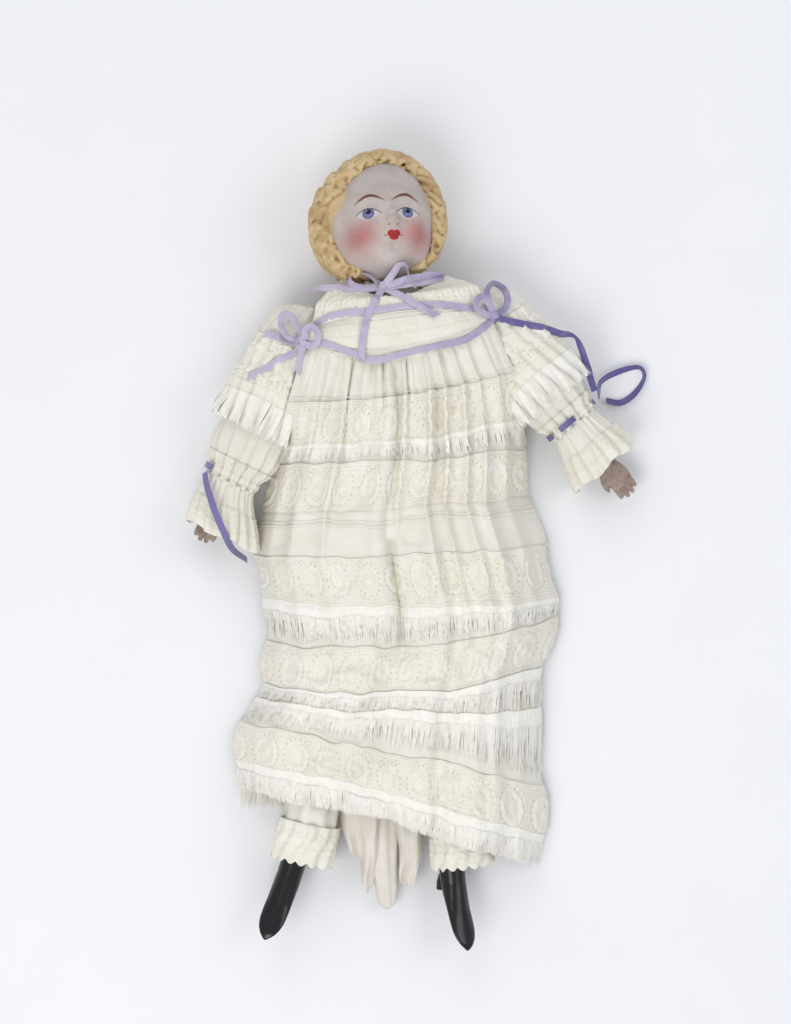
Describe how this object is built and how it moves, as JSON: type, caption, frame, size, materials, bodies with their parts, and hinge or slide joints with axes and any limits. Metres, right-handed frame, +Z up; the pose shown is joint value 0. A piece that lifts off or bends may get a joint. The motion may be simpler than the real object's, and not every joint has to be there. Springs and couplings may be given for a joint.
{
  "type": "cloth-bodied porcelain doll",
  "caption": "Bisque shoulder-head doll with cloth body, bisque forearms and glazed black boots, lying in a lace-tiered muslin gown with satin ribbons.",
  "frame": {"origin": "centre of the box of the doll without the two loose tails of its wrist ribbons, at the level of the floor it lies on", "axes": "+Y towards the crown of the head, +X towards the doll's own left hand, +Z up out of the face as the doll lies on its back"},
  "size_m": [0.2542, 0.4276, 0.0712],
  "materials": {
    "bisque": "unglazed tinted bisque with painted face, moulded blond hair",
    "black_china": "gloss black glaze over moulded boots",
    "body_cotton": "plain unbleached cotton, firmly stuffed",
    "sawdust": "loose packed sawdust",
    "thread": "waxed linen thread",
    "gown_muslin": "thin ivory cotton muslin, gathered and tucked",
    "cotton_lace": "ivory cotton lace with a frayed fringe",
    "underlinen": "white cotton underclothes, a little yellowed",
    "satin_ribbon": "lavender satin, faded paler on the high side"
  },
  "bodies": {
    "torso": {"shoulder_head": "bisque", "plate_stitch_front_right": "thread", "plate_stitch_front_left": "thread", "plate_stitch_back_right": "thread", "plate_stitch_back_left": "thread", "torso_cover": "body_cotton", "torso_stuffing": "sawdust", "drawers_waist": "gown_muslin", "bodice_front": "gown_muslin", "bodice_back": "gown_muslin", "yoke_front": "cotton_lace", "yoke_back": "gown_muslin", "neck_frill": "cotton_lace", "yoke_ribbon_upper": "satin_ribbon", "yoke_ribbon_lower": "satin_ribbon", "neck_bow": "satin_ribbon", "shoulder_bow_right": "satin_ribbon", "shoulder_bow_left": "satin_ribbon"},
    "lap": {"skirt_front": "gown_muslin", "skirt_back": "gown_muslin", "hem_fringe_front": "cotton_lace", "hem_fringe_back": "cotton_lace", "petticoat_front": "underlinen", "petticoat_back": "underlinen", "chemise_tail": "underlinen"},
    "left_leg": {"thigh_left": "body_cotton", "lower_leg_left": "black_china", "leg_binding_left": "thread", "drawers_leg_left": "gown_muslin", "drawers_lace_left": "cotton_lace"},
    "right_leg": {"thigh_right": "body_cotton", "lower_leg_right": "black_china", "leg_binding_right": "thread", "drawers_leg_right": "gown_muslin", "drawers_lace_right": "cotton_lace"},
    "left_arm": {"upper_arm_left": "body_cotton", "forearm_left": "bisque", "arm_binding_left": "thread", "sleeve_left": "gown_muslin", "sleeve_frill_left": "gown_muslin", "wrist_ribbon_left": "satin_ribbon", "shoulder_ruffle_left": "cotton_lace", "wrist_tail_left": "satin_ribbon"},
    "right_arm": {"upper_arm_right": "body_cotton", "forearm_right": "bisque", "arm_binding_right": "thread", "sleeve_right": "gown_muslin", "sleeve_frill_right": "gown_muslin", "wrist_ribbon_right": "satin_ribbon", "shoulder_ruffle_right": "cotton_lace", "wrist_tail_right": "satin_ribbon"}
  },
  "joints": [
    {"name": "hip_sit", "type": "hinge", "parent": "torso", "child": "lap", "pos_m": [-0.00518, -0.0193, 0.02], "axis": [-1, 0, 0], "range_deg": [0, 90], "deforming": ["skirt_front", "petticoat_front"]},
    {"name": "left_hip_splay", "type": "hinge", "parent": "lap", "child": "left_leg", "pos_m": [0.01382, -0.0193, 0.02], "axis": [0, 0, 1], "range_deg": [-3, 4]},
    {"name": "right_hip_splay", "type": "hinge", "parent": "lap", "child": "right_leg", "pos_m": [-0.02418, -0.0193, 0.02], "axis": [0, 0, -1], "range_deg": [-8, 3]},
    {"name": "left_shoulder_swing", "type": "hinge", "parent": "torso", "child": "left_arm", "pos_m": [0.04282, 0.12369, 0.018], "axis": [0, 0, 1], "range_deg": [-15, 45]},
    {"name": "right_shoulder_swing", "type": "hinge", "parent": "torso", "child": "right_arm", "pos_m": [-0.05518, 0.1147, 0.018], "axis": [0, 0, -1], "range_deg": [-2, 60]}
  ]
}
